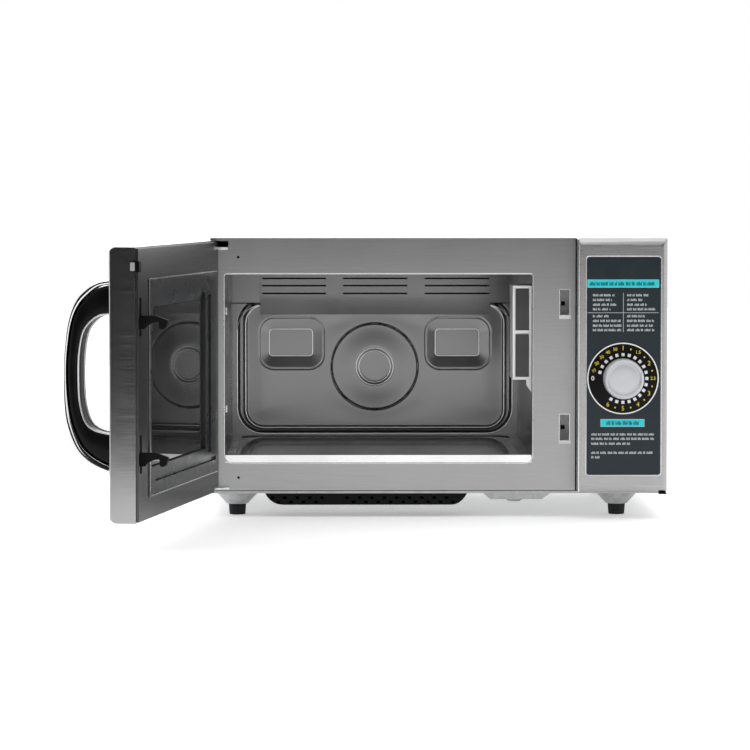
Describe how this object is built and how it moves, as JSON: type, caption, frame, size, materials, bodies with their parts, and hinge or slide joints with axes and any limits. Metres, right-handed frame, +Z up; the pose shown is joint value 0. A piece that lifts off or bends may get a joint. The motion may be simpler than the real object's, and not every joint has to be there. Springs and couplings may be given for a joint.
{
  "type": "microwave oven",
  "caption": "Counter-top microwave oven in brushed steel with a side-hinged door, bow handle, latch hooks, flat ceramic shelf and a rotary timer dial.",
  "frame": {"origin": "middle of the base of the box round the whole oven with its door open, on the surface that the feet stand on", "axes": "+Z up, +Y from the door side to the back of the cabinet, +X to the right seen from the front"},
  "size_m": [0.657, 0.804, 0.3176],
  "materials": {
    "brushed_steel": "horizontal brushed stainless steel",
    "cavity_steel": "satin stainless steel, smooth and a little reflective",
    "galvanised_steel": "zinc-coated sheet, slightly spangled",
    "chrome_strap": "polished",
    "black_plastic": "fine moulded grain",
    "choke_plastic": "satin dark grey",
    "foot_rubber": "matte moulded rubber",
    "overlay_film": "satin printed film",
    "dial_black": "matt black print",
    "knob_silver": "silver-white satin moulding",
    "shelf_ceramic": "smooth grey glass-ceramic",
    "white_plastic": "heat-resistant moulding",
    "stirrer_sheet": "smooth microwave-clear sheet",
    "door_glass": "dark tinted glass",
    "core_iron": "laminated, varnished",
    "winding_copper": "enamelled copper windings",
    "circuit_board": "solder-masked board with components"
  },
  "bodies": {
    "cabinet": {"cavity_front_plate": "brushed_steel", "outer_wrap": "brushed_steel", "control_bezel": "brushed_steel", "hinge_upper": "brushed_steel", "hinge_lower": "brushed_steel", "cavity_shell": "cavity_steel", "cavity_back_wall": "cavity_steel", "rear_vent_cover": "cavity_steel", "base_plate": "galvanised_steel", "rear_panel": "galvanised_steel", "stirrer_motor": "galvanised_steel", "waveguide": "galvanised_steel", "magnetron": "galvanised_steel", "fan_shroud": "galvanised_steel", "hv_capacitor": "galvanised_steel", "intake_grille": "black_plastic", "front_screw_upper": "black_plastic", "front_screw_lower": "black_plastic", "cord_gland": "black_plastic", "timer_module": "black_plastic", "hv_diode": "black_plastic", "thermal_cutout": "black_plastic", "foot_front_left": "foot_rubber", "foot_front_right": "foot_rubber", "foot_rear_left": "foot_rubber", "foot_rear_right": "foot_rubber", "control_overlay": "overlay_film", "dial_plate": "dial_black", "ceramic_shelf": "shelf_ceramic", "lamp_cover": "white_plastic", "latch_bracket": "white_plastic", "oven_lamp": "white_plastic", "door_switch_upper": "white_plastic", "door_switch_lower": "white_plastic", "stirrer_cover": "stirrer_sheet", "transformer_core": "core_iron", "fan_motor": "core_iron", "transformer_primary": "winding_copper", "transformer_secondary": "winding_copper", "control_board": "circuit_board", "noise_filter": "circuit_board"},
    "door": {"door_frame": "brushed_steel", "door_front_glass": "door_glass", "door_screen": "core_iron", "door_inner_pan": "brushed_steel", "choke_cover": "choke_plastic", "door_inner_glass": "door_glass", "latch_spring": "galvanised_steel", "handle_grip": "black_plastic", "handle_strap": "chrome_strap", "door_edge_clip": "black_plastic", "hinge_pin_upper": "galvanised_steel", "hinge_pin_lower": "galvanised_steel"},
    "latch": {"latch_bar": "black_plastic"},
    "knob": {"timer_knob": "knob_silver", "timer_shaft": "galvanised_steel"},
    "fan": {"fan_blade": "black_plastic"},
    "stirrer": {"stirrer_blade": "galvanised_steel"},
    "plunger_upper": {"switch_plunger_upper": "black_plastic"},
    "plunger_lower": {"switch_plunger_lower": "black_plastic"}
  },
  "joints": [
    {"name": "door_hinge", "type": "hinge", "parent": "cabinet", "child": "door", "pos_m": [-0.18347, 0.0035, 0.17], "axis": [0, 0, 1], "range_deg": [-10, 99.8]},
    {"name": "latch_slide", "type": "slide", "parent": "door", "child": "latch", "axis": [0, 0, 1], "range_m": [0, 0.006], "stiffness_N_per_m": 250, "springref_m": -0.008, "deforming": ["latch_spring"]},
    {"name": "timer_turn", "type": "hinge", "parent": "cabinet", "child": "knob", "pos_m": [0.27793, -0.02, 0.1596], "axis": [0, 1, 0], "range_deg": [0, 300]},
    {"name": "fan_spin", "type": "hinge", "parent": "cabinet", "child": "fan", "pos_m": [0.25453, 0.32, 0.2], "axis": [0, 1, 0], "continuous": true},
    {"name": "stirrer_spin", "type": "hinge", "parent": "cabinet", "child": "stirrer", "pos_m": [0.00293, 0.195, 0.284], "axis": [0, 0, 1], "continuous": true},
    {"name": "plunger_upper_slide", "type": "slide", "parent": "cabinet", "child": "plunger_upper", "axis": [0, 1, 0], "range_m": [0, 0.002], "stiffness_N_per_m": 100, "springref_m": -0.002},
    {"name": "plunger_lower_slide", "type": "slide", "parent": "cabinet", "child": "plunger_lower", "axis": [0, 1, 0], "range_m": [0, 0.002], "stiffness_N_per_m": 100, "springref_m": -0.002}
  ]
}
